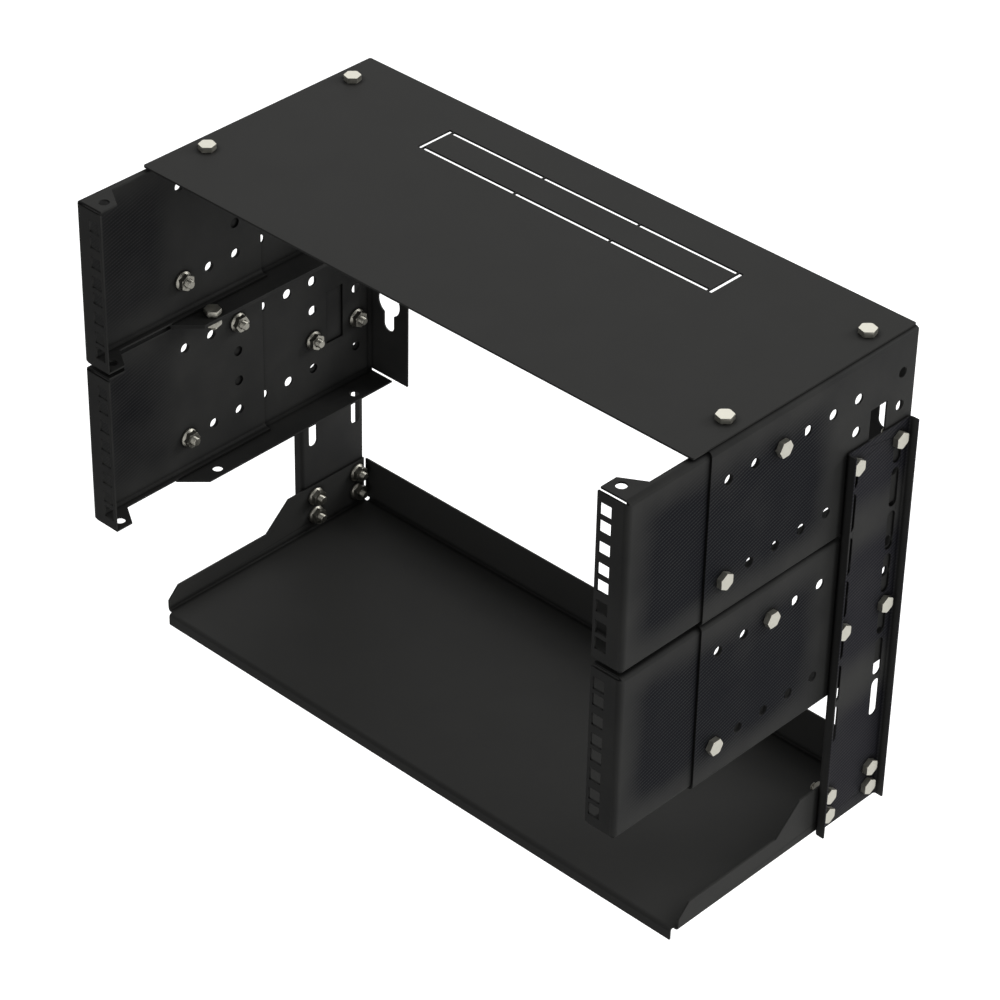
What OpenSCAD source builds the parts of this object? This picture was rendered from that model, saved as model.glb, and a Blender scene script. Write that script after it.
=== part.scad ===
// Wall mount open frame rack, 19 inch, two stacked three unit modules and a hanging shelf
// Folded sheet steel brackets, slotted channels and a tray, held together with hex bolts and flange nuts
// The wall is the plane y = 0 and the front is towards -y
// x = 0 is the middle of the rack and z = 0 the middle height of its four keyholes

/* [Sheet metal] */
// Thickness of every sheet
sheet_t = 1.5; // [1.4:0.05:1.6]
// Inside radius of the folds of the brackets
bracket_in_r = 2.5; // [2:0.1:2.8]
// Inside radius of the folds of the channels and the shelf
light_in_r = 1.5; // [1.2:0.1:1.6]
// Width of the relief slots where two folds meet
relief_w = 1.5; // [1.2:0.1:1.8]

/* [Rack] */
// Height of one rack unit
unit_h = 44.45; // [44.4:0.05:44.75]
// Depth from the front of the rails to the wall
rack_depth = 279.4; // [277:0.2:282]
// Clear width between the rails
rail_opening = 450.85; // [449:0.05:452]
// Width of a rail over the face of its web
rail_w = 25.375; // [24.6:0.025:26.5]
// Distance of the middle of the square holes from the inner edge of their rail
rail_hole_edge = 7.125; // [6.8:0.025:7.6]
// Side of a square rail hole
rail_hole = 9.5; // [9:0.1:9.8]
// Distance of the paired rail holes from the middle between them
rail_pair_half = 6.35; // [6.1:0.05:6.6]

/* [Front bracket] */
// Length of the front bracket
front_len = 167.5; // [165:0.5:170]
// Width of the front tab on the top and bottom folds
tab_w = 24.4; // [23.5:0.1:25]
// Length of the front tab
tab_len = 16; // [15.5:0.1:18]
// Length of the slanted edge behind the tab
tab_slant = 10.5; // [8:0.5:12]
// Width of the narrow part of the top and bottom folds
front_fold_w = 7.1; // [6.5:0.1:8]
// Distance of the tab hole from the front
tab_hole_y = 11.5; // [10:0.1:12]
// Distance of the tab hole from the web
tab_hole_x = 16.4; // [13.5:0.1:17.5]
// Distance of the tab's front edge from the front of the rail
tab_setback = 1.6; // [1.6:0.05:2]
// Gap in height between a tab and the end of the rail
tab_gap = 0.9; // [0.6:0.05:1.5]

/* [Rear bracket] */
// Length of the rear bracket
rear_len = 204.9; // [203:0.1:207]
// Width of its top and bottom folds
rear_fold_w = 25.4; // [25:0.1:27]
// Length of the slant at the front corner of these folds, across and along
rear_fold_slant = 17.1; // [15:0.1:18]
// Width of the wall fold
wall_fold_w = 41.3; // [40:0.1:43]
// Distance of the keyhole from the web
key_x = 21.8; // [20.8:0.1:22.6]
// Height of the keyhole's round opening in its module
key_z = 69; // [66:0.5:72]
// Diameter of the keyhole's round opening
key_d = 22.5; // [21:0.1:23.5]
// Width of the keyhole's slot
key_slot_w = 10.6; // [9.6:0.1:11.4]
// Distance from the round opening down to the end of the slot
key_drop = 19.6; // [18:0.2:21]
// Width of the window in the web
window_w = 17; // [15:0.2:19]
// Height of the window in the web
window_h = 45.35; // [43:0.05:47]

/* [Web holes] */
// Diameter of the round holes
hole_d = 7.8; // [7.4:0.1:8]
// Distance of the top and bottom rows from the edge of the module
row_edge = 28.575; // [28:0.025:29.2]
// Spacing of the columns of holes
hole_pitch = 25.4; // [25:0.1:25.8]
// Distance of the last column from the wall
wall_column = 15.875; // [15.4:0.025:16.4]
// Distance between the two columns that hold the channel
channel_hole_pitch = 44.45; // [44:0.05:44.8]
// Distance of the rear hole in the top and bottom folds from the wall
fold_hole_rear = 33.5; // [32:0.1:36]
// Distance between the two holes in the top and bottom folds
fold_hole_pitch = 139.7; // [137:0.1:142]
// Distance of the holes in the top and bottom folds from the web
fold_hole_x = 17.6; // [17.2:0.1:18]

/* [Top plate] */
// Depth of the plate
plate_depth = 218; // [214:0.5:222]
// Distance of the plate's rear edge from the wall
plate_rear = 1.4; // [0.8:0.1:2]
// Distance of the plate's sides from the faces of the webs
plate_inset = 3.1; // [2.4:0.1:4.5]
// Radius of the plate's corners
plate_corner_r = 1.5; // [1:0.1:3]
// Length of the knock-out panel, between the middles of its end slits
knock_l = 264.8; // [240:0.2:280]
// Width of the knock-out panel, between the middles of its long slits
knock_w = 28.8; // [26:0.1:34]
// Distance of the panel's middle from the wall
knock_y = 51.9; // [48:0.1:58]
// Offset of the panel's middle from the middle of the plate
knock_x = -1.8; // [-2.5:0.1:0]
// Width of the slits around the panel
slit_w = 3.4; // [3:0.1:3.8]
// Width of the small bridges that hold the panel
bridge_w = 1; // [0.8:0.1:1.6]
// Distance of the inner bridges from the middle
bridge_x = 43.5; // [36:0.5:50]

/* [Channels] */
// Distance of the channel's front from its front column of holes
channel_margin = 9.175; // [8.8:0.025:10.5]
// Length of the channel
channel_len = 317.5; // [317.3:0.1:319.5]
// Width of the channel's flanges with the sheet
channel_flange = 8.3; // [7.5:0.1:10]
// Distance of the channel's rear flange from the wall
channel_rear = 3.9; // [3.5:0.1:4.4]
// Height of the channel's top over its upper bolts
channel_over = 12.7; // [12.5:0.1:15]
// Distance from the channel's top to the middle that the first slot would have at full length
slot_first = 16; // [15.6:0.05:16.4]
// Spacing of the slots
slot_pitch = 35.1; // [34.9:0.02:35.12]
// Width of a slot
slot_w = 8; // [7.8:0.1:8.4]
// Length of a slot
slot_len = 31; // [30.6:0.1:31.4]

/* [Shelf] */
// Distance of the shelf's front from the wall
shelf_depth = 214.4; // [210:0.2:218]
// Distance of the shelf's rear fold from the wall
shelf_rear = 3.9; // [3:0.1:4.8]
// Distance of the sides' rear ends from the wall
shelf_side_rear = 8; // [7.2:0.1:9]
// Play between the ends of the rear fold and the channels
shelf_play = 0.2; // [0.1:0.05:0.3]
// Height of the low part of the sides
shelf_side_h = 19.7; // [18:0.1:22]
// Height of the ears
shelf_ear_h = 40.4; // [39:0.2:44]
// Distance of the ear's front corner from the wall
shelf_ear_front = 88.1; // [84:0.1:94]
// Length of the slanted edge in front of the ear
shelf_ramp = 23.5; // [18:0.5:28]
// Height of the rear fold
shelf_back_h = 37.7; // [34:0.1:39]
// Drop of the front lip below the floor
shelf_lip_h = 8.5; // [7:0.1:12]
// Length of the slant at the front corner of the sides
shelf_corner = 10; // [7:0.5:12]
// Distance of the sides behind the front
shelf_side_inset = 3.5; // [3.3:0.1:5]
// Height of the lower ear holes
ear_hole_z = 13.475; // [12.5:0.025:13.6]
// Distance between the two ear holes
ear_hole_pitch = 17; // [16:0.1:17.1]

/* [Fasteners] */
// Diameter of the bolt shank
bolt_d = 6.35; // [6:0.05:6.5]
// Length of the bolt under its head
bolt_len = 12.7; // [11:0.1:14]
// Width across flats of heads and nuts
hex_af = 11.11; // [10.8:0.01:11.2]
// Height of the bolt head
head_h = 4; // [3.6:0.1:4.6]
// Height of the nut
nut_h = 6; // [5.4:0.1:6.6]
// Diameter of the nut's flange
nut_flange_d = 14.4; // [13.6:0.1:15]
// Thickness of the flange at its rim
nut_rim = 1.2; // [0.8:0.1:1.6]
// Play between the nut and the bolt
thread_play = 0.1; // [0.06:0.02:0.2]

/* [Hidden] */
$fn = 48;
module_units = 3;
module_h = module_units * unit_h;
stack_h = 2 * module_h;
rack_w = rail_opening + 2 * (rail_w + sheet_t);
bracket_r = bracket_in_r + sheet_t;
light_r = light_in_r + sheet_t;
web_x = rack_w / 2;
front_web_x = web_x - sheet_t;
front_h = module_h - 2 * sheet_t;
rail_y = -rack_depth;
fold_hole_front = fold_hole_rear + fold_hole_pitch;
fold_bolt_x = web_x - fold_hole_x;
fold_bolt_turn = 45;
depth_turns = [[30, 30], [30, 0]];
column_count = 6;
front_column_count = 3;
row_count = 4;
row_pitch = (module_h - 2 * row_edge) / (row_count - 1);
channel_column = wall_column + channel_hole_pitch;
bolt_row_z = row_edge + row_pitch;
channel_top = module_h + bolt_row_z + channel_over;
channel_bottom = channel_top - channel_len;
slot_count = 7;
middle_y = wall_column + channel_hole_pitch / 2;
channel_w = channel_column + channel_margin - channel_rear;
plate_w = rack_w - 2 * plate_inset;
shelf_flat_x = web_x - light_r - relief_w;
hex_sides = 6;
corner_r = hex_af / 2 / cos(180 / hex_sides);
edge_chamfer = 0.6;
nut_cone_h = 1.5;
eps = 0.01;
cut = 1;
black = "#2b2b2a";
zinc = "#c9c7bf";

// Distance of a column of web holes from the wall, and height of a row in its module
function column_y(k) = channel_column + k * hole_pitch;
function row_z(k) = row_edge + k * row_pitch;

// Square holes of a module: a pair in each unit and a single one between two units
rail_holes_z = concat(
    [for (i = [0 : module_units - 1], s = [-1, 1]) (i + 0.5) * unit_h + s * rail_pair_half],
    [for (i = [1 : module_units - 1]) i * unit_h]
);

// Where the front and rear brackets are bolted together: column and row
depth_joints = [[3, row_count - 1], [5, 0]];

// Extrudes an x-z outline along y, from y0 to y1
module along_y(y0, y1) {
    translate([0, y1, 0]) rotate([90, 0, 0]) linear_extrude(y1 - y0) children();
}

// Extrudes a y-z outline along x, from x0 to x1
module along_x(x0, x1) {
    translate([x0, 0, 0]) rotate([90, 0, 90]) linear_extrude(x1 - x0) children();
}

// Folded corner: outer corner at the origin, one leg along -x, the other along +y
module l_outline(leg_x, leg_y, in_r) {
    out_r = in_r + sheet_t;
    translate([-leg_x, 0]) square([leg_x - out_r, sheet_t]);
    translate([-sheet_t, out_r]) square([sheet_t, leg_y - out_r]);
    translate([-out_r, out_r]) intersection() {
        difference() {
            circle(out_r);
            circle(in_r);
        }
        translate([0, -out_r]) square(out_r);
    }
}

// Folded U: web on the right with its outer face at x = 0, both folds towards -x
module u_outline(h, fold, in_r) {
    l_outline(fold, h / 2, in_r);
    translate([0, h]) mirror([0, 1]) l_outline(fold, h / 2, in_r);
}

// Round hole through a web that stands across x
module web_hole(y, z, d = hole_d) {
    translate([web_x - bracket_r, -y, z]) rotate([0, 90, 0]) cylinder(d = d, h = 2 * bracket_r);
}

// Round hole through a flat sheet that lies across z
module flat_hole(x, y, z) {
    translate([x, y, z - 2 * sheet_t]) cylinder(d = hole_d, h = 4 * sheet_t);
}

// Filled outline from x = -w to 0 and from y = y0 to y1, with a round corner at x = 0, y = y0
module round_corner(w, y0, y1, r) {
    translate([-w, y0]) square([w - r, y1 - y0]);
    translate([-r, y0 + r]) square([r, y1 - y0 - r]);
    translate([-r, y0 + r]) circle(r);
}

// Filled U section with both corners at x = 0 round
module round_side(w, h0, h1, r) {
    round_corner(w, h0, (h0 + h1) / 2, r);
    translate([0, h0 + h1]) mirror([0, 1]) round_corner(w, h0, (h0 + h1) / 2, r);
}

// U section whose end at y = 0 is folded in as well: its folds stop short of the end fold
module folded_box(h, fold, end_fold, length, setback, gap) {
    difference() {
        intersection() {
            along_y(0, length) round_side(end_fold, 0, h, bracket_r);
            linear_extrude(h) round_corner(end_fold, 0, length, bracket_r);
        }
        translate([-sheet_t, 0, 0]) intersection() {
            along_y(sheet_t, length + cut) round_side(end_fold, sheet_t, h - sheet_t, bracket_in_r);
            linear_extrude(h) round_corner(end_fold, sheet_t, length + cut, bracket_in_r);
        }
        for (z = [-cut, h - sheet_t - gap]) translate([-end_fold - cut, -cut, z]) {
            cube([end_fold + 2 * cut, setback + cut, sheet_t + gap + cut]);
            cube([end_fold - fold + cut, length + 2 * cut, sheet_t + gap + cut]);
        }
    }
}

// Plan outline of what is cut away behind the tabs of the front bracket
module behind_tab() {
    polygon([
        [-tab_w - cut, tab_len],
        [-tab_w, tab_len],
        [-front_fold_w, tab_len + tab_slant],
        [-front_fold_w, front_len + cut],
        [-tab_w - cut, front_len + cut]
    ]);
}

// Front bracket, right hand, in its module: rail in front, web outside, tabs above and below
module front_bracket() {
    color(black) difference() {
        translate([front_web_x, rail_y, sheet_t]) difference() {
            folded_box(front_h, tab_w, rail_w, front_len, tab_setback, tab_gap);
            translate([0, 0, -cut]) linear_extrude(front_h + 2 * cut) behind_tab();
        }
        for (z = rail_holes_z)
            translate([rail_opening / 2 + rail_hole_edge - rail_hole / 2, rail_y - cut, z - rail_hole / 2])
                cube([rail_hole, sheet_t + 2 * cut, rail_hole]);
        for (z = [2 * sheet_t, module_h - sheet_t])
            flat_hole(front_web_x - tab_hole_x, rail_y + tab_hole_y, z);
        for (k = [column_count - front_column_count : column_count - 1], z = [row_z(0), row_z(row_count - 1)])
            web_hole(column_y(k), z);
        for (k = [1 : row_count - 2]) web_hole(column_y(column_count - front_column_count), row_z(k));
    }
}

// Keyhole through the wall fold: round opening with a slot below it
module keyhole() {
    depth = sheet_t + 2 * cut;
    translate([web_x - key_x, cut, key_z]) rotate([90, 0, 0]) {
        cylinder(d = key_d, h = depth);
        translate([0, -key_drop, 0]) cylinder(d = key_slot_w, h = depth);
        translate([-key_slot_w / 2, -key_drop, 0]) cube([key_slot_w, key_drop, depth]);
    }
}

// Rear bracket, right hand, in its module: web outside, wall fold behind, wide folds above and below
module rear_bracket() {
    slant_x = web_x - rear_fold_w + rear_fold_slant;
    slant_y = -rear_len + rear_fold_slant;
    color(black) difference() {
        translate([web_x, 0, 0]) mirror([0, 1, 0])
            folded_box(module_h, rear_fold_w, wall_fold_w, rear_len, sheet_t, relief_w);
        translate([0, 0, -cut]) linear_extrude(module_h + 2 * cut) polygon([
            [web_x - rear_fold_w - cut, -rear_len - cut],
            [slant_x + cut, -rear_len - cut],
            [web_x - rear_fold_w - cut, slant_y + cut]
        ]);
        keyhole();
        translate([web_x - sheet_t - cut, -middle_y - window_w / 2, (module_h - window_h) / 2])
            cube([sheet_t + 2 * cut, window_w, window_h]);
        for (k = [0 : column_count - 1], z = [row_z(0), row_z(row_count - 1)]) web_hole(column_y(k), z);
        for (k = [1 : row_count - 2]) web_hole(channel_column, row_z(k));
        for (k = [0 : row_count - 1]) web_hole(wall_column, row_z(k));
        for (y = [fold_hole_rear, fold_hole_front], z = [0, module_h]) flat_hole(fold_bolt_x, -y, z);
    }
}

// One slit of the knock-out, along x between two points of its middle line
module slit_x(x0, x1, y) {
    translate([x0, y - slit_w / 2, -cut]) cube([x1 - x0, slit_w, sheet_t + 2 * cut]);
}

// Rectangle with round corners, from x = -w / 2 and y = 0
module rounded_plate(w, d, r) {
    translate([r - w / 2, 0]) square([w - 2 * r, d]);
    translate([-w / 2, r]) square([w, d - 2 * r]);
    for (x = [r - w / 2, w / 2 - r], y = [r, d - r]) translate([x, y]) circle(r);
}

// Top plate: flat sheet with a slit knock-out panel and four bolt holes
module top_plate() {
    end_x = (knock_l - slit_w) / 2 - bridge_w;
    inner_x = bridge_x - bridge_w / 2;
    outer_x = bridge_x + bridge_w / 2;
    color(black) translate([0, 0, stack_h]) difference() {
        translate([0, -plate_rear - plate_depth, 0]) linear_extrude(sheet_t)
            rounded_plate(plate_w, plate_depth, plate_corner_r);
        translate([knock_x, -knock_y, 0]) for (s = [-1, 1]) {
            slit_x(-end_x, -outer_x, s * knock_w / 2);
            slit_x(-inner_x, inner_x, s * knock_w / 2);
            slit_x(outer_x, end_x, s * knock_w / 2);
            translate([(s * knock_l - slit_w) / 2, -(knock_w + slit_w) / 2, -cut])
                cube([slit_w, knock_w + slit_w, sheet_t + 2 * cut]);
        }
        for (x = [-fold_bolt_x, fold_bolt_x], y = [fold_hole_rear, fold_hole_front])
            flat_hole(x, -y, sheet_t / 2);
    }
}

// Channel: web against the rear brackets, flanges outwards, two columns of slots, holes for the shelf.
// The upper end of its first two slots is the hole for the upper bolts.
module channel() {
    half = (slot_len - slot_w) / 2;
    color(black) difference() {
        translate([web_x, -channel_rear, channel_bottom]) linear_extrude(channel_len)
            rotate(180) u_outline(channel_w, channel_flange, light_in_r);
        for (k = [0 : slot_count - 1], y = [wall_column, channel_column]) {
            middle = channel_top - slot_first - k * slot_pitch;
            low = middle - half;
            high = k == 0 ? channel_top - channel_over : middle + half;
            for (z = [low, high]) web_hole(y, z, slot_w);
            translate([web_x - cut, -y - slot_w / 2, low]) cube([sheet_t + 2 * cut, slot_w, high - low]);
        }
        for (k = [0, 1], y = [wall_column, channel_column])
            web_hole(y, channel_bottom + ear_hole_z + k * ear_hole_pitch);
    }
}

// Side outline of what is cut away above the sides of the shelf, from y = 0 at the wall
module above_sides() {
    front = -shelf_depth + shelf_side_inset;
    polygon([
        [front - cut, shelf_side_h - shelf_corner - cut],
        [front + shelf_corner, shelf_side_h],
        [-shelf_ear_front - shelf_ramp, shelf_side_h],
        [-shelf_ear_front, shelf_ear_h],
        [-shelf_ear_front, shelf_ear_h + cut],
        [front - cut, shelf_ear_h + cut]
    ]);
}

// Long section of the shelf: front lip down, floor, rear fold up
module floor_outline() {
    floor_len = shelf_depth - shelf_rear;
    translate([-shelf_rear, 0]) l_outline(floor_len / 2, shelf_back_h, light_in_r);
    translate([-shelf_depth, sheet_t]) rotate(180)
        l_outline(floor_len / 2 + cut, shelf_lip_h + sheet_t, light_in_r);
}

// Shelf: floor with both sides and the wider rear folded up, and the front lip folded down
module shelf() {
    back_x = web_x - shelf_play;
    color(black) translate([0, 0, channel_bottom]) difference() {
        union() {
            difference() {
                along_y(-shelf_depth + shelf_side_inset, -shelf_side_rear)
                    translate([-web_x, 0]) rotate(-90) u_outline(rack_w, shelf_ear_h, light_in_r);
                along_x(-web_x - cut, web_x + cut) above_sides();
            }
            along_x(-shelf_flat_x, shelf_flat_x) floor_outline();
            translate([-back_x, -shelf_rear - sheet_t, light_r])
                cube([2 * back_x, sheet_t, shelf_back_h - light_r]);
        }
        for (s = [0, 1], y = [wall_column, channel_column], k = [0, 1])
            mirror([s, 0, 0]) web_hole(y, ear_hole_z + k * ear_hole_pitch);
    }
}

// Hexagon with its outer corners turned off, from z = 0 up to h
module chamfered_hex(h) {
    intersection() {
        cylinder(r = corner_r, h = h, $fn = hex_sides);
        union() {
            cylinder(r = corner_r + cut, h = h - edge_chamfer);
            translate([0, 0, h - edge_chamfer])
                cylinder(r1 = corner_r, r2 = (hex_af - edge_chamfer) / 2, h = edge_chamfer);
        }
    }
}

// Hex bolt along z: underside of the head at z = 0, shank downwards
module hex_bolt() {
    chamfered_hex(head_h);
    translate([0, 0, edge_chamfer - bolt_len]) cylinder(d = bolt_d, h = bolt_len - edge_chamfer + eps);
    translate([0, 0, -bolt_len])
        cylinder(d1 = bolt_d - 2 * edge_chamfer, d2 = bolt_d, h = edge_chamfer);
}

// Flange nut along z: seat at z = 0, body downwards
module flange_nut() {
    difference() {
        union() {
            mirror([0, 0, 1]) chamfered_hex(nut_h);
            translate([0, 0, -nut_rim]) cylinder(d = nut_flange_d, h = nut_rim);
            translate([0, 0, -nut_rim - nut_cone_h])
                cylinder(d1 = hex_af, d2 = nut_flange_d, h = nut_cone_h);
        }
        translate([0, 0, -nut_h - cut]) cylinder(d = bolt_d + thread_play, h = nut_h + 2 * cut);
    }
}

// Places what points along z so that it points outwards at a point of the right hand web
module at_web(x, y, z) {
    translate([x, -y, z]) rotate([0, 90, 0]) children();
}

// Fastener places on the wide folds, both sides
module at_fold_holes(z) {
    for (s = [-1, 1], y = [fold_hole_rear, fold_hole_front])
        translate([s * fold_bolt_x, -y, z]) rotate(fold_bolt_turn) children();
}

// Fastener places where the front bracket meets the rear bracket, both modules
module at_depth_joints(x) {
    for (m = [0, 1], k = [0, 1]) let (j = depth_joints[k])
        at_web(x, column_y(j[0]), m * module_h + row_z(j[1])) rotate(depth_turns[m][k]) children();
}

// Fastener places where the channel meets the rear brackets, both modules
module at_channel_joints(x) {
    for (m = [0, 1], y = [wall_column, channel_column])
        at_web(x, y, m * module_h + bolt_row_z) children();
}

// Fastener places where the ear of the shelf meets the channel
module at_ear_holes(x) {
    for (k = [0, 1], y = [wall_column, channel_column])
        at_web(x, y, channel_bottom + ear_hole_z + k * ear_hole_pitch) children();
}

module top_plate_bolts() color(zinc) at_fold_holes(stack_h + sheet_t) hex_bolt();
module top_plate_nuts() color(zinc) at_fold_holes(stack_h - sheet_t) flange_nut();
module stacking_bolts() color(zinc) at_fold_holes(module_h + sheet_t) hex_bolt();
module stacking_nuts() color(zinc) at_fold_holes(module_h - sheet_t) flange_nut();
module depth_bolts() color(zinc) at_depth_joints(web_x) hex_bolt();
module depth_nuts() color(zinc) at_depth_joints(web_x - 2 * sheet_t) flange_nut();
module channel_bolts() color(zinc) at_channel_joints(web_x + sheet_t) hex_bolt();
module channel_nuts() color(zinc) at_channel_joints(web_x - sheet_t) flange_nut();
module shelf_bolts() color(zinc) at_ear_holes(web_x + sheet_t) hex_bolt();
module shelf_nuts() color(zinc) at_ear_holes(web_x - sheet_t) flange_nut();

// The left side is the right side mirrored
module left_hand() {
    mirror([1, 0, 0]) children();
}

// The left channel is the same part as the right one, turned about the middle of its two hole columns
module turned() {
    translate([0, -2 * middle_y, 0]) rotate(180) children();
}

// The upper module stands on the lower one
module upper() {
    translate([0, 0, module_h]) children();
}

// Moves what is drawn from the underside of the lower module to the origin between the keyholes
module placed() {
    translate([0, 0, -module_h / 2 - key_z]) children();
}

placed() top_plate();
placed() upper() rear_bracket();  // rear_bracket_upper_right
placed() upper() left_hand() rear_bracket();  // rear_bracket_upper_left
placed() rear_bracket();  // rear_bracket_lower_right
placed() left_hand() rear_bracket();  // rear_bracket_lower_left
placed() upper() front_bracket();  // front_bracket_upper_right
placed() upper() left_hand() front_bracket();  // front_bracket_upper_left
placed() front_bracket();  // front_bracket_lower_right
placed() left_hand() front_bracket();  // front_bracket_lower_left
placed() channel();  // channel_right
placed() turned() channel();  // channel_left
placed() shelf();
placed() top_plate_bolts();
placed() top_plate_nuts();
placed() stacking_bolts();
placed() stacking_nuts();
placed() depth_bolts();  // depth_bolts_right
placed() left_hand() depth_bolts();  // depth_bolts_left
placed() depth_nuts();  // depth_nuts_right
placed() left_hand() depth_nuts();  // depth_nuts_left
placed() channel_bolts();  // channel_bolts_right
placed() left_hand() channel_bolts();  // channel_bolts_left
placed() channel_nuts();  // channel_nuts_right
placed() left_hand() channel_nuts();  // channel_nuts_left
placed() shelf_bolts();  // shelf_bolts_right
placed() left_hand() shelf_bolts();  // shelf_bolts_left
placed() shelf_nuts();  // shelf_nuts_right
placed() left_hand() shelf_nuts();  // shelf_nuts_left
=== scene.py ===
import math

import bmesh
import bpy
from mathutils import Euler, Matrix, Vector


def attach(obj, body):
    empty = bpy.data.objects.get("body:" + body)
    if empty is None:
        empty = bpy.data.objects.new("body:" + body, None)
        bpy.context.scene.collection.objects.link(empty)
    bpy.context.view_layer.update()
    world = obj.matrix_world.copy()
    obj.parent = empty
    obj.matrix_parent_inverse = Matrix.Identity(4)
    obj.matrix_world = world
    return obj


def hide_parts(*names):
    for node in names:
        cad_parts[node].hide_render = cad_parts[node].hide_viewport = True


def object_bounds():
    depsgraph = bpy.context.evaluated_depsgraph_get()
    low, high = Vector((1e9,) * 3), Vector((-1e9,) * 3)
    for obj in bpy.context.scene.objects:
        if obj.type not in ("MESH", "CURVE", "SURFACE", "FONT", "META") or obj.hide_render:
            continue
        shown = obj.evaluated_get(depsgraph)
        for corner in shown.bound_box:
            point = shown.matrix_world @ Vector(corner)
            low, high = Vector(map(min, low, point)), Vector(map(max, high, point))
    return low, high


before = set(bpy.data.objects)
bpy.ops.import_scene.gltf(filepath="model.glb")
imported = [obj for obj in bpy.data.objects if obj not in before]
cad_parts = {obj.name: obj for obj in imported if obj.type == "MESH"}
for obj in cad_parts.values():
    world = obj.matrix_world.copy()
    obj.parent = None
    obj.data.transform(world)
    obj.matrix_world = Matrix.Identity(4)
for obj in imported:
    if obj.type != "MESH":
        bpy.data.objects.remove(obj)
cad_low, cad_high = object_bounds()

MM = 0.001


# The eight folded brackets: four rear ones on the wall and four front ones nested in them.
# Laser-cut and folded 1.5 mm steel sheet with a fine-grained black powder coat. The coat rounds
# the cut edges a little. Its colour is drawn darker and bluer in the middle of the webs; the paler
# colour along the folds is a painted highlight on the bends. Painted shade darkens the corners
# and the folds that face the front.
SHEET_T = 1.5 * MM
MODULE_H = 133.35 * MM
MODULE_BASE = -135.675 * MM

FACET_GAP = 0.002 * MM
SHARP_FOLD = math.radians(35)
COAT_EDGE = 0.4 * MM
COAT_IOR = 1.5
COAT_SHEEN = 0.03
COAT_ROUGHNESS = (0.5, 0.64)
GRAIN = 0.55 * MM
GRAIN_DEPTH = 0.08 * MM
GRAIN_BUMP = 0.35
MOTTLE = 38 * MM
MOTTLE_SHADE = 0.25
NOISE_SPAN = (0.3, 0.7)

# painted shade in the creases: how far it reaches, its span of openness and its darkest share
CREASE = 5 * MM
CREASE_SHADE_SPAN = (0.7, 0.97)
CREASE_SHADE_LEAST = 0.3
# painted shade on the folds that face the front, less of it near the wall
FRONT_TURN = (-0.4, -1.0)
FRONT_SHADE_LEAST = 0.56
WALL_REACH = (-20 * MM, -60 * MM)

WEB_CALM_Y = -178 * MM
CALM_REACH = (68 * MM, 102 * MM)
CALM_HEIGHT = (0.25, 0.47)
PATCH = 70 * MM
PATCH_SPAN = (0.35, 0.6)
PATCH_LEAST = 0.85
RAIL_REACH = (-190 * MM, -228 * MM)
INNER_SHARE = 0.55

# turn in degrees and pitch of the two sets of lines in the grain
HATCH = ((72.5, 2.7 * MM), (-40, 1.9 * MM))
HATCH_WANDER = 1.0
HATCH_CROSS = 0.18
HATCH_SPAN = (0.5, 0.95)
HATCH_DEPTH = 0.8
WAVE_PHASE = 20


def srgb(code):
    """A hex colour as the linear RGBA that a shader socket takes."""
    parts = [int(code[i : i + 2], 16) / 255 for i in (1, 3, 5)]
    linear = [c / 12.92 if c <= 0.04045 else ((c + 0.055) / 1.055) ** 2.4 for c in parts]
    return (*linear, 1.0)


def add_node(tree, kind, inputs=None, **settings):
    """Adds a node with its settings. An input is a value, a socket that feeds it, or a node,
    whose first live output then feeds it."""
    made = tree.nodes.new(kind)
    for name, value in settings.items():
        setattr(made, name, value)
    for name, value in (inputs or {}).items():
        if isinstance(value, bpy.types.Node):
            value = next(socket for socket in value.outputs if socket.enabled)
        if isinstance(value, bpy.types.NodeSocket):
            tree.links.new(value, made.inputs[name])
        else:
            made.inputs[name].default_value = value
    return made


def new_material(name):
    """An empty material and its node tree."""
    made = bpy.data.materials.new(name)
    made.use_nodes = True
    made.node_tree.nodes.clear()
    return made, made.node_tree


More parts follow.
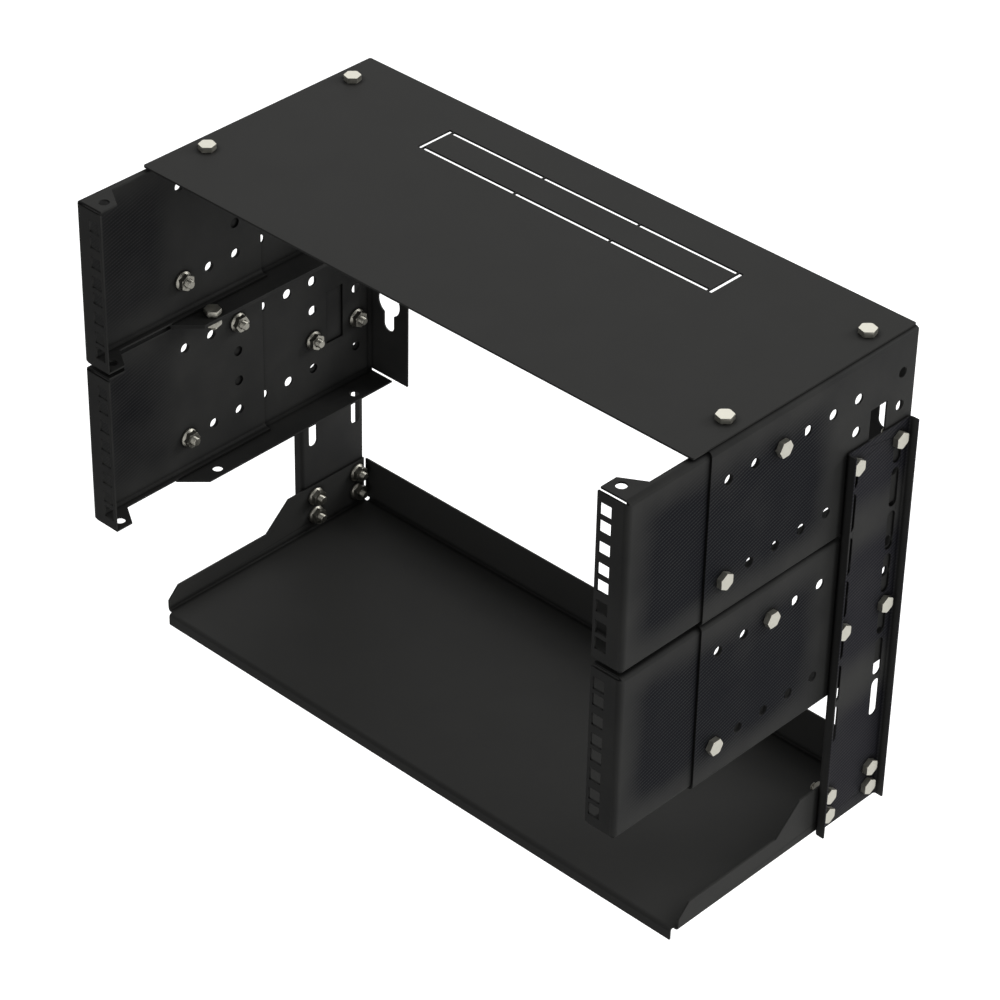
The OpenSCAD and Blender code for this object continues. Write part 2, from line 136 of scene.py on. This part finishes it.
def web_shade(tree, place, spot, facing, calm_y):
    """How far the coat turns to its dark colour: most in the middle of each module's web, about
    the depth calm_y, and nothing at the folds, which keep the paler colour as a painted highlight
    on the bends. Fine paler lines cross there."""
    above = add_node(
        tree, "ShaderNodeMath", {0: spot.outputs["Z"], 1: MODULE_BASE}, operation="SUBTRACT"
    )
    modules = add_node(tree, "ShaderNodeMath", {0: above, 1: MODULE_H}, operation="DIVIDE")
    part = add_node(tree, "ShaderNodeMath", {0: modules}, operation="FRACT")
    off_middle = add_node(tree, "ShaderNodeMath", {0: part, 1: 0.5}, operation="SUBTRACT")
    height = add_node(tree, "ShaderNodeMath", {0: off_middle}, operation="ABSOLUTE")
    # the folds stay pale: a painted highlight on the bends
    calm = add_node(
        tree,
        "ShaderNodeMapRange",
        {
            "Value": height,
            "From Min": CALM_HEIGHT[0],
            "From Max": CALM_HEIGHT[1],
            "To Min": 1.0,
            "To Max": 0.0,
        },
        interpolation_type="SMOOTHSTEP",
    )
    offset = add_node(
        tree, "ShaderNodeMath", {0: spot.outputs["Y"], 1: calm_y}, operation="SUBTRACT"
    )
    along = add_node(tree, "ShaderNodeMath", {0: offset}, operation="ABSOLUTE")
    inland = add_node(
        tree,
        "ShaderNodeMapRange",
        {
            "Value": along,
            "From Min": CALM_REACH[0],
            "From Max": CALM_REACH[1],
            "To Min": 1.0,
            "To Max": 0.0,
        },
        interpolation_type="SMOOTHSTEP",
    )
    patches = add_node(
        tree, "ShaderNodeTexNoise", {"Vector": place, "Scale": 1 / PATCH, "Detail": 2.0}
    )
    patch = add_node(
        tree,
        "ShaderNodeMapRange",
        {
            "Value": patches,
            "From Min": PATCH_SPAN[0],
            "From Max": PATCH_SPAN[1],
            "To Min": PATCH_LEAST,
            "To Max": 1.0,
        },
    )
    # it shows on the outer faces of the webs, and less on the inner faces beside the rails
    side = add_node(tree, "ShaderNodeMath", {0: spot.outputs["X"]}, operation="SIGN")
    out = add_node(tree, "ShaderNodeMath", {0: facing.outputs["X"], 1: side}, operation="MULTIPLY")
    outer = add_node(tree, "ShaderNodeMapRange", {"Value": out})
    inner = add_node(tree, "ShaderNodeMapRange", {"Value": out, "From Max": -1.0})
    near_rail = add_node(
        tree,
        "ShaderNodeMapRange",
        {"Value": spot.outputs["Y"], "From Min": RAIL_REACH[0], "From Max": RAIL_REACH[1]},
        interpolation_type="SMOOTHSTEP",
    )
    inner = add_node(tree, "ShaderNodeMath", {0: inner, 1: near_rail}, operation="MULTIPLY")
    faces = add_node(
        tree, "ShaderNodeMath", {0: outer, 1: inner}, operation="ADD", use_clamp=True
    )
    faint = add_node(
        tree, "ShaderNodeMapRange", {"Value": inner, "To Min": 1.0, "To Max": INNER_SHARE}
    )
    # the real grain is too fine to show, so its lines are drawn coarser and one set is stronger
    bands = []
    for turn, pitch in HATCH:
        laid = add_node(
            tree,
            "ShaderNodeMapping",
            {"Vector": place, "Rotation": (math.radians(turn), 0.0, 0.0)},
        )
        scale = 2 * math.pi / (WAVE_PHASE * pitch)
        wave = add_node(
            tree,
            "ShaderNodeTexWave",
            {"Vector": laid, "Scale": scale, "Distortion": HATCH_WANDER},
            bands_direction="Y",
        )
        bands.append(wave.outputs["Fac"])
    crossed = add_node(
        tree, "ShaderNodeMix", {"Factor": HATCH_CROSS, "A": bands[0], "B": bands[1]}
    )
    lines = add_node(
        tree,
        "ShaderNodeMapRange",
        {
            "Value": crossed,
            "From Min": HATCH_SPAN[0],
            "From Max": HATCH_SPAN[1],
            "To Min": 1.0,
            "To Max": 1 - HATCH_DEPTH,
        },
    )
    deep = calm
    for share in (inland, patch, faces, faint, lines):
        deep = add_node(tree, "ShaderNodeMath", {0: deep, 1: share}, operation="MULTIPLY")
    return deep


def powder_coat(name, pale, dark, calm_y=None):
    """Black polyester powder coat on steel, baked on: a satin film with a fine grain that
    breaks up its gloss. With calm_y given, the webs turn to the dark colour about that depth."""
    made, tree = new_material(name)
    place = add_node(tree, "ShaderNodeTexCoord").outputs["Object"]
    spot = add_node(tree, "ShaderNodeSeparateXYZ", {"Vector": place})
    normal = add_node(tree, "ShaderNodeNewGeometry").outputs["True Normal"]
    facing = add_node(tree, "ShaderNodeSeparateXYZ", {"Vector": normal})

    mottle = add_node(
        tree, "ShaderNodeTexNoise", {"Vector": place, "Scale": 1 / MOTTLE, "Detail": 3.0}
    )
    shade = add_node(
        tree,
        "ShaderNodeMapRange",
        {
            "Value": mottle,
            "From Min": NOISE_SPAN[0],
            "From Max": NOISE_SPAN[1],
            "To Max": MOTTLE_SHADE,
        },
    )
    if calm_y is not None:
        deep = web_shade(tree, place, spot, facing, calm_y)
        shade = add_node(
            tree, "ShaderNodeMath", {0: deep, 1: shade}, operation="ADD", use_clamp=True
        )
    colour = add_node(
        tree,
        "ShaderNodeMix",
        {"Factor": shade, "A": srgb(pale), "B": srgb(dark)},
        data_type="RGBA",
    )

    # painted shade: the colour is darkened in the corners beside an edge or under a head, where
    # shade falls
    crease_occlusion = add_node(tree, "ShaderNodeAmbientOcclusion", {"Distance": CREASE}, samples=8)
    crease_shade = add_node(
        tree,
        "ShaderNodeMapRange",
        {
            "Value": crease_occlusion.outputs["AO"],
            "From Min": CREASE_SHADE_SPAN[0],
            "From Max": CREASE_SHADE_SPAN[1],
            "To Min": CREASE_SHADE_LEAST,
            "To Max": 1.0,
        },
    )
    # painted shade as well: the folds that face the front are drawn darker, but not those near the
    # wall
    off_wall = add_node(
        tree,
        "ShaderNodeMapRange",
        {
            "Value": spot.outputs["Y"],
            "From Min": WALL_REACH[0],
            "From Max": WALL_REACH[1],
            "To Min": 1.0,
            "To Max": FRONT_SHADE_LEAST,
        },
    )
    front = add_node(
        tree,
        "ShaderNodeMapRange",
        {
            "Value": facing.outputs["Y"],
            "From Min": FRONT_TURN[0],
            "From Max": FRONT_TURN[1],
            "To Min": 1.0,
            "To Max": off_wall,
        },
    )
    # both painted shades, the creases' and the front folds', multiplied into the colour
    painted_shade = add_node(tree, "ShaderNodeMath", {0: crease_shade, 1: front}, operation="MULTIPLY")
    shaded_colour = add_node(
        tree,
        "ShaderNodeMix",
        {"Factor": 1.0, "A": colour, "B": painted_shade},
        data_type="RGBA",
        blend_type="MULTIPLY",
    )

    grain = add_node(
        tree, "ShaderNodeTexNoise", {"Vector": place, "Scale": 1 / GRAIN, "Detail": 2.0}
    )
    bump = add_node(
        tree,
        "ShaderNodeBump",
        {"Height": grain, "Strength": GRAIN_BUMP, "Distance": GRAIN_DEPTH},
    )
    gloss = add_node(
        tree,
        "ShaderNodeMapRange",
        {
            "Value": grain,
            "From Min": NOISE_SPAN[0],
            "From Max": NOISE_SPAN[1],
            "To Min": COAT_ROUGHNESS[0],
            "To Max": COAT_ROUGHNESS[1],
        },
    )
    film = add_node(
        tree,
        "ShaderNodeBsdfPrincipled",
        {
            "Base Color": shaded_colour,
            "Roughness": gloss,
            "Normal": bump,
            "IOR": COAT_IOR,
            "Specular IOR Level": COAT_SHEEN,
        },
    )
    add_node(tree, "ShaderNodeOutputMaterial", {"Surface": film})
    return made


def coat(names, finish):
    """Gives CAD sheet parts their finish and the coat's small round along every cut edge."""
    for name in names:
        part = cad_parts[name]
        part.data.materials.clear()
        part.data.materials.append(finish)
        weld = part.modifiers.new("joined facets", "WELD")
        weld.merge_threshold = FACET_GAP
        edge = part.modifiers.new("coated edge", "BEVEL")
        edge.width = COAT_EDGE
        edge.segments = 2
        edge.limit_method = "ANGLE"
        edge.angle_limit = SHARP_FOLD
        edge.use_clamp_overlap = True


brackets = [
    f"{place}_bracket_{level}_{side}"
    for place in ("front", "rear")
    for level in ("upper", "lower")
    for side in ("right", "left")
]
coat(brackets, powder_coat("black_powder_coat_webs", "#323231", "#03050c", WEB_CALM_Y))


# The two slotted side channels, the hanging shelf and the top plate with its knock-out panel.
# The same folded sheet and the same coat. Its webs' dark middle and crossed grain show fainter on
# the channels, and not at all on the shelf and the plate.
CHANNEL_CALM_Y = -38 * MM
coat(
    ["channel_right", "channel_left"],
    powder_coat("black_powder_coat_channels", "#353534", "#18181e", CHANNEL_CALM_Y),
)
coat(["shelf", "top_plate"], powder_coat("black_powder_coat_flats", "#343433", "#2e2e2d"))


# The 32 hex bolts, quarter inch, cold-headed steel with bright zinc plate; painted shade darkens
# the thread.
# A plain flat head with its corners turned off, and a rolled thread down to a chamfered tip.
# They clamp the sheets: through the folds from above, and through the webs from outside.
HEX_AF = 11.11 * MM
HEAD_H = 4 * MM
TURNED_R = 6.05 * MM
TURNED_SLOPE = math.tan(math.radians(30))
BOLT_R = 3.175 * MM
BOLT_LEN = 12.7 * MM
THREAD_PITCH = 1.27 * MM
THREAD_DEPTH = 0.55 * MM
THREAD_START = 1.5 * THREAD_PITCH
THREAD_FLANK = 0.45 * THREAD_PITCH
TIP_CHAMFER = 0.6 * MM
UNDER_HEAD = -0.1 * MM

ROUND_STEPS = 48
SEAM_GAP = 0.001 * MM
HARD_EDGE = math.radians(28)

CLOUD = 3 * MM
PLATE_ROUGHNESS = (0.34, 0.5)
PLATE_BUMP = 0.15
PLATE_DEPTH = 0.05 * MM


def zinc_plate(name, dim, bright):
    """Zinc plate on steel: a faintly warm metal with a soft, slightly clouded gloss."""
    made, tree = new_material(name)
    place = add_node(tree, "ShaderNodeTexCoord").outputs["Object"]
    cloud = add_node(
        tree, "ShaderNodeTexNoise", {"Vector": place, "Scale": 1 / CLOUD, "Detail": 3.0}
    )
    colour = add_node(
        tree,
        "ShaderNodeMix",
        {"Factor": cloud, "A": srgb(dim), "B": srgb(bright)},
        data_type="RGBA",
    )
    gloss = add_node(
        tree,
        "ShaderNodeMapRange",
        {"Value": cloud, "To Min": PLATE_ROUGHNESS[0], "To Max": PLATE_ROUGHNESS[1]},
    )
    bump = add_node(
        tree,
        "ShaderNodeBump",
        {"Height": cloud, "Strength": PLATE_BUMP, "Distance": PLATE_DEPTH},
    )
    metal = add_node(
        tree,
        "ShaderNodeBsdfPrincipled",
        {"Base Color": colour, "Metallic": 1.0, "Roughness": gloss, "Normal": bump},
    )
    add_node(tree, "ShaderNodeOutputMaterial", {"Surface": metal})
    return made


bright_zinc = zinc_plate("bright_zinc_plate", "#a09e94", "#b4b2a8")
# a darker copy of the zinc for the thread and the nuts: painted shade inside the rack
shaded_zinc = zinc_plate("shaded_zinc_plate", "#7c7a72", "#94928a")


def hexagon(angle):
    """Distance from the axis to the hexagon's side in that direction, with a corner at 0."""
    sixth = math.pi / 3
    return HEX_AF / 2 / math.cos(angle % sixth - sixth / 2)


def face_edge(angle):
    """Radius of the flat end face: the hexagon with its corners turned off."""
    return min(hexagon(angle), TURNED_R)


def turned(angle, top):
    """Height of the hexagon's top edge once its corners are turned off."""
    return top - max(0.0, hexagon(angle) - TURNED_R) * TURNED_SLOPE


def stack_rings(mesh, rings):
    """Lofts rings of points, each given by its radius and height at an angle.
    Returns the edges of the first ring and of the last."""
    points = bmesh.ops.create_circle(mesh, segments=ROUND_STEPS, radius=1.0)["verts"]
    edges = list({edge for point in points for edge in point.link_edges})
    first = edges
    for index, (radius, height) in enumerate(rings):
        if index:
            grown = bmesh.ops.extrude_edge_only(mesh, edges=edges)["geom"]
            edges = [item for item in grown if isinstance(item, bmesh.types.BMEdge)]
            points = list({point for edge in edges for point in edge.verts})
        for point in points:
            angle = math.atan2(point.co.y, point.co.x) % (2 * math.pi)
            reach = radius(angle) if callable(radius) else radius
            level = height(angle) if callable(height) else height
            point.co = (math.cos(angle) * reach, math.sin(angle) * reach, level)
    return first, edges


def finished_mesh(mesh, name, finishes):
    """Closes a bmesh into a mesh with its faces outwards and its hard edges kept hard."""
    bmesh.ops.remove_doubles(mesh, verts=mesh.verts[:], dist=SEAM_GAP)
    bmesh.ops.recalc_face_normals(mesh, faces=mesh.faces[:])
    made = bpy.data.meshes.new(name)
    mesh.to_mesh(made)
    mesh.free()
    for finish in finishes:
        made.materials.append(finish)
    made.shade_smooth()
    made.set_sharp_from_angle(angle=HARD_EDGE)
    return made


def bolt_shape():
    """One bolt along z: its head's underside at 0 and its tip at -BOLT_LEN."""
    mesh = bmesh.new()
    rings = [
        (face_edge, HEAD_H),
        (hexagon, lambda angle: turned(angle, HEAD_H)),
        (hexagon, 0.0),
        (BOLT_R, 0.0),
    ]
    level = -THREAD_START
    while level > -BOLT_LEN + THREAD_PITCH:
        rings += [
            (BOLT_R, level),
            (BOLT_R - THREAD_DEPTH, level - THREAD_FLANK),
            (BOLT_R, level - 2 * THREAD_FLANK),
        ]
        level -= THREAD_PITCH
    rings += [(BOLT_R, -BOLT_LEN + TIP_CHAMFER), (BOLT_R - TIP_CHAMFER, -BOLT_LEN)]
    top, tip = stack_rings(mesh, rings)
    bmesh.ops.contextual_create(mesh, geom=top)
    bmesh.ops.contextual_create(mesh, geom=tip)
    # the thread below the head takes the darker zinc: painted shade
    for face in mesh.faces:
        face.material_index = int(face.calc_center_median().z < UNDER_HEAD)
    return finished_mesh(mesh, "hex_bolt", [bright_zinc, shaded_zinc])


def place_fasteners(name, shape, places, stands_for):
    """Copies one fastener to each of its places, as one piece that stands for a CAD node."""
    joined = bmesh.new()
    for place in places:
        copy = shape.copy()
        copy.transform(place)
        joined.from_mesh(copy)
        bpy.data.meshes.remove(copy)
    made = bpy.data.meshes.new(name)
    joined.to_mesh(made)
    joined.free()
    for finish in shape.materials:
        made.materials.append(finish)
    piece = bpy.data.objects.new(name, made)
    bpy.context.scene.collection.objects.link(piece)
    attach(piece, "root")
    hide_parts(stands_for)


# where the bolt holes are: x across the rack, y out from the wall and negative, z up
WEB_X = 252.3 * MM
FOLD_INSET = 17.6 * MM
FOLD_HOLE_X = WEB_X - FOLD_INSET
FOLD_HOLE_YS = (-33.5 * MM, -173.2 * MM)
FOLD_TURN = math.radians(45)
STACK_SEAM = MODULE_BASE + MODULE_H
STACK_TOP = STACK_SEAM + MODULE_H

RACK_UNIT = 44.45 * MM
COLUMN_PITCH = 25.4 * MM
WALL_COLUMN = 15.875 * MM
CHANNEL_COLUMN = WALL_COLUMN + RACK_UNIT
ROW_EDGE = 28.575 * MM
TOP_ROW = MODULE_H - ROW_EDGE
BOLT_ROW = ROW_EDGE + (MODULE_H - 2 * ROW_EDGE) / 3
DEPTH_HOLES = ((3, TOP_ROW), (5, ROW_EDGE))
DEPTH_TURNS = (30, 30, 30, 0)
UNTURNED = (0, 0, 0, 0)

CHANNEL_H = 317.5 * MM
CHANNEL_END = 12.7 * MM
CHANNEL_BASE = STACK_SEAM + BOLT_ROW + CHANNEL_END - CHANNEL_H
EAR_ROWS = (13.475 * MM, 30.475 * MM)

depth_points = [
    (-CHANNEL_COLUMN - column * COLUMN_PITCH, base + row)
    for base in (MODULE_BASE, STACK_SEAM)
    for column, row in DEPTH_HOLES
]
channel_points = [
    (-column, base + BOLT_ROW)
    for base in (MODULE_BASE, STACK_SEAM)
    for column in (WALL_COLUMN, CHANNEL_COLUMN)
]
ear_points = [
    (-column, CHANNEL_BASE + row) for row in EAR_ROWS for column in (WALL_COLUMN, CHANNEL_COLUMN)
]


def on_folds(level):
    """The four places on the wide folds at one height, fastener along z."""
    turn = Matrix.Rotation(FOLD_TURN, 4, "Z")
    return [
        Matrix.Translation((side * FOLD_HOLE_X, y, level)) @ turn
        for side in (-1, 1)
        for y in FOLD_HOLE_YS
    ]


def on_webs(side, distance, points, turns):
    """Places on the webs of one side, fastener along the outward normal, turned as tightened."""
    lay = Matrix.Rotation(side * math.pi / 2, 4, "Y")
    return [
        Matrix.Translation((side * distance, y, z))
        @ lay
        @ Matrix.Rotation(math.radians(turn), 4, "Z")
        for (y, z), turn in zip(points, turns)
    ]


def fasten(shape, kind, word, sheets):
    """Puts one kind of fastener on every joint of two sheets: heads one sheet out from where
    they meet, nuts one sheet in. A front bracket's joint lies a sheet further in itself."""
    for joint, level, node in (("plate", STACK_TOP, "top_plate"), ("seam", STACK_SEAM, "stacking")):
        places = on_folds(level + sheets * SHEET_T)
        place_fasteners(f"{joint}_{kind}", shape, places, f"{node}_{word}")
    for side, hand in ((1, "right"), (-1, "left")):
        for joint, points, turns, inset in (
            ("depth", depth_points, DEPTH_TURNS, 1),
            ("channel", channel_points, UNTURNED, 0),
            ("shelf", ear_points, UNTURNED, 0),
        ):
            places = on_webs(side, WEB_X + (sheets - inset) * SHEET_T, points, turns)
            place_fasteners(f"{joint}_{kind}_{hand}", shape, places, f"{joint}_{word}_{hand}")


fasten(bolt_shape(), "hex_bolts", "bolts", 1)


# The 32 flange nuts on the inside, pressed steel with zinc plate, painted darker than the heads as
# shade.
# A hexagon that widens into a round flange, whose rim is serrated so that it stays tight.
NUT_H = 6 * MM
BORE_R = BOLT_R + 0.05 * MM
BORE_CHAMFER = 0.5 * MM
FLANGE_R = 7.2 * MM
SERRATION = 0.18 * MM
RIM_H = 1.2 * MM
FLARE = 0.83


def serrated(angle):
    """Radius of the flange's rim: every second point of the ring stands back a little."""
    step = round(angle / (2 * math.pi) * ROUND_STEPS)
    return FLANGE_R - (step % 2) * SERRATION


def flared(angle):
    """Height where the hexagon runs into the flange's slanted top."""
    return -RIM_H - (FLANGE_R - hexagon(angle)) * FLARE


def nut_shape():
    """One nut along z: its seat at 0 and its outer end at -NUT_H."""
    mesh = bmesh.new()
    rings = [
        (BORE_R, 0.0),
        (serrated, 0.0),
        (serrated, -RIM_H),
        (hexagon, flared),
        (hexagon, lambda angle: -turned(angle, NUT_H)),
        (face_edge, -NUT_H),
        (BORE_R + BORE_CHAMFER, -NUT_H),
        (BORE_R, -NUT_H + BORE_CHAMFER),
    ]
    seat, mouth = stack_rings(mesh, rings)
    bmesh.ops.bridge_loops(mesh, edges=seat + mouth)
    return finished_mesh(mesh, "flange_nut", [shaded_zinc])


fasten(nut_shape(), "flange_nuts", "nuts", -1)


# The studio: a white paper floor some way under the rack, a white surround and four soft lamps.
# The rack hangs on a wall in use, so nothing touches the floor and its shadow there stays soft.
FLOOR_DROP = 0.55
FLOOR_SIZE = 30.0
FLOOR_GLOW = 0.62
SURROUND_LIGHT = 0.55


def shown_white(tree):
    """Is 1 for what the camera sees itself, in a reflection or through glass, otherwise 0."""
    path = add_node(tree, "ShaderNodeLightPath")
    shown = path.outputs["Is Camera Ray"]
    for ray in ("Is Glossy Ray", "Is Transmission Ray"):
        shown = add_node(
            tree, "ShaderNodeMath", {0: shown, 1: path.outputs[ray]}, operation="MAXIMUM"
        )
    return shown


def white_floor():
    """White paper floor that shows as white to the camera and still takes the rack's shadow."""
    made, tree = new_material("white_paper_floor")
    lift = add_node(
        tree, "ShaderNodeMath", {0: shown_white(tree), 1: FLOOR_GLOW}, operation="MULTIPLY"
    )
    paper = add_node(tree, "ShaderNodeBsdfDiffuse", {"Color": srgb("#e6e6e6")})
    glow = add_node(tree, "ShaderNodeEmission", {"Strength": lift})
    both = add_node(tree, "ShaderNodeAddShader", {0: paper, 1: glow})
    add_node(tree, "ShaderNodeOutputMaterial", {"Surface": both})
    return made


floor_mesh = bmesh.new()
bmesh.ops.create_grid(floor_mesh, x_segments=1, y_segments=1, size=FLOOR_SIZE / 2)
bmesh.ops.translate(floor_mesh, verts=floor_mesh.verts[:], vec=(0, 0, cad_low[2] - FLOOR_DROP))
floor_data = bpy.data.meshes.new("floor")
floor_mesh.to_mesh(floor_data)
floor_mesh.free()
floor_data.materials.append(white_floor())
floor = bpy.data.objects.new("floor", floor_data)
bpy.context.scene.collection.objects.link(floor)

world = bpy.data.worlds.new("white_surround")
bpy.context.scene.world = world
world.use_nodes = True
air = world.node_tree
air.nodes.clear()
strength = add_node(
    air,
    "ShaderNodeMapRange",
    {"Value": shown_white(air), "To Min": SURROUND_LIGHT, "To Max": 1.0},
)
sky = add_node(air, "ShaderNodeBackground", {"Color": srgb("#ffffff"), "Strength": strength})
add_node(air, "ShaderNodeOutputWorld", {"Surface": sky})

middle = (Vector(cad_low) + Vector(cad_high)) / 2


def soft_lamp(name, place, size, power):
    """A square soft box that faces the middle of the rack."""
    data = bpy.data.lights.new(name, "AREA")
    data.size = size
    data.energy = power
    lamp = bpy.data.objects.new(name, data)
    lamp.location = place
    lamp.rotation_euler = (middle - Vector(place)).to_track_quat("-Z", "Y").to_euler()
    bpy.context.scene.collection.objects.link(lamp)


soft_lamp("top_soft_box", (-1.2, 1.3, 1.75), 1.6, 13.5)
soft_lamp("rear_soft_box", (1.3, 2.2, 1.1), 1.2, 43)
soft_lamp("right_soft_box", (2.65, -0.8, 1.8), 1.8, 8)
soft_lamp("low_soft_box", (2.0, -1.1, -0.45), 0.6, 7)


# The camera stands in front of the rack, to the right and above, with a long lens.
# It looks at a point near the middle of the opening, and is held turned by about a degree.
AZIMUTH = 42.96
ELEVATION = 35.17
ROLL = 1.18
DISTANCE = 2538.6 * MM
AIM = Vector((22.9, -147.7, -46.8)) * MM
FOCAL = 134.4
SENSOR = 36

lens = bpy.data.cameras.new("photo_camera")
lens.lens = FOCAL
lens.sensor_width = SENSOR
camera = bpy.data.objects.new("photo_camera", lens)
bpy.context.scene.collection.objects.link(camera)
gaze = Euler((math.radians(90 - ELEVATION), 0, math.radians(AZIMUTH))).to_matrix()
gaze = gaze @ Matrix.Rotation(math.radians(ROLL), 3, "Z")
camera.matrix_world = Matrix.Translation(AIM + gaze.col[2] * DISTANCE) @ gaze.to_4x4()
bpy.context.scene.camera = camera
bpy.context.scene.view_settings.view_transform = "Standard"
